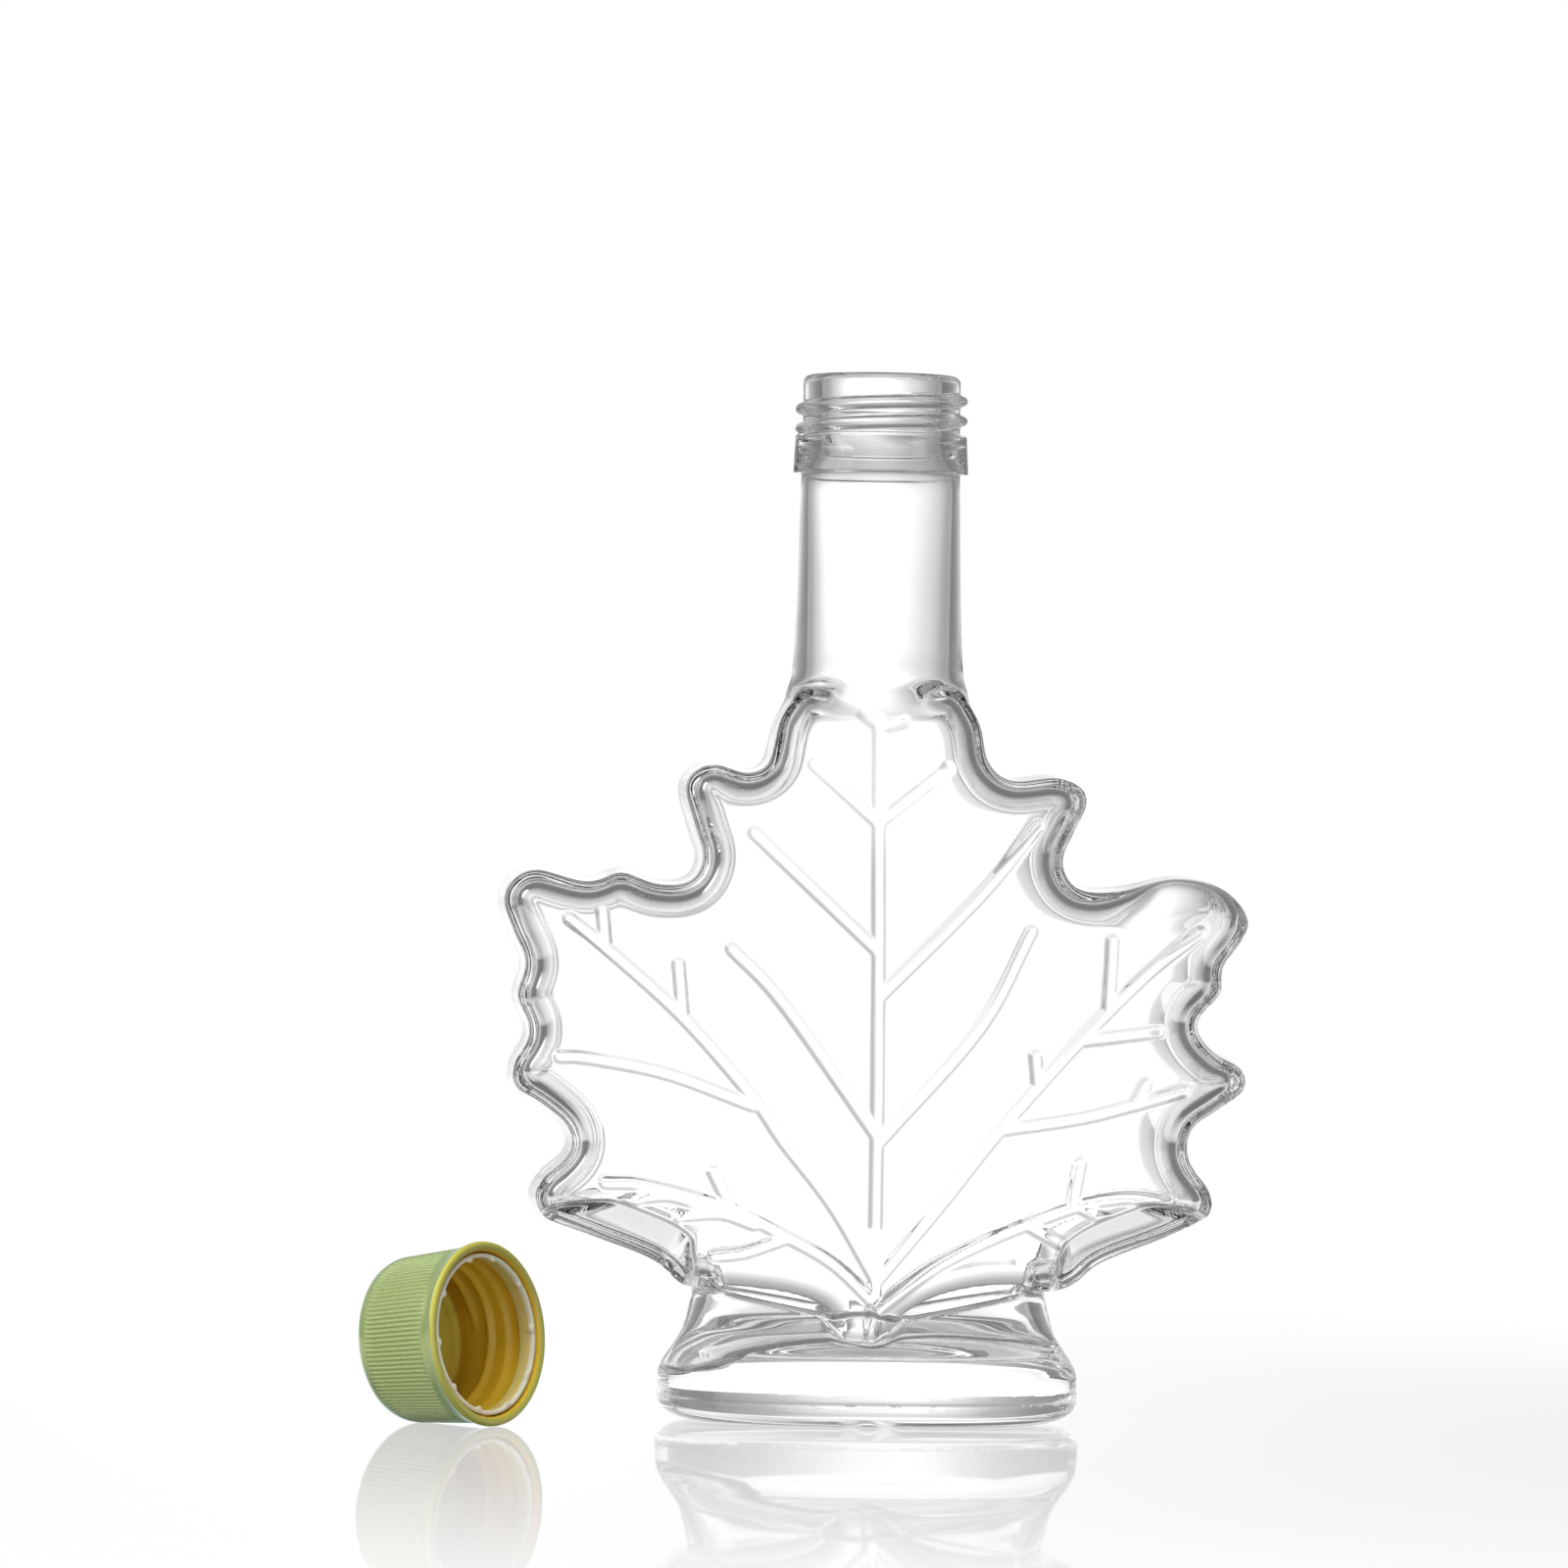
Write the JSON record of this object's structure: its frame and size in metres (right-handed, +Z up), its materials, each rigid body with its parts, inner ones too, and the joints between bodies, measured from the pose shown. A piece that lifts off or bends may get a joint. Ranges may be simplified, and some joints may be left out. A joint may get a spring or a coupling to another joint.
{
  "type": "maple leaf glass syrup bottle",
  "caption": "Empty clear glass bottle in the shape of a maple leaf, with a threaded neck and its ribbed screw cap lying beside it.",
  "frame": {"origin": "middle of the bottle's flat base, on the surface that it stands on", "axes": "+Z up through the neck, -Y towards the face with the raised leaf veins, +X to the right of someone who faces that side"},
  "size_m": [0.1431, 0.0656, 0.17],
  "materials": {
    "clear_glass": "clear, colourless, fire polished",
    "pearl_green": "pearly satin green outside, golden inside",
    "olive_liner": "soft satin",
    "clear_band": "translucent greyish white"
  },
  "bodies": {
    "root": {"bottle": "clear_glass", "cap_shell": "pearl_green", "cap_liner": "olive_liner", "cap_band": "clear_band"}
  },
  "joints": []
}
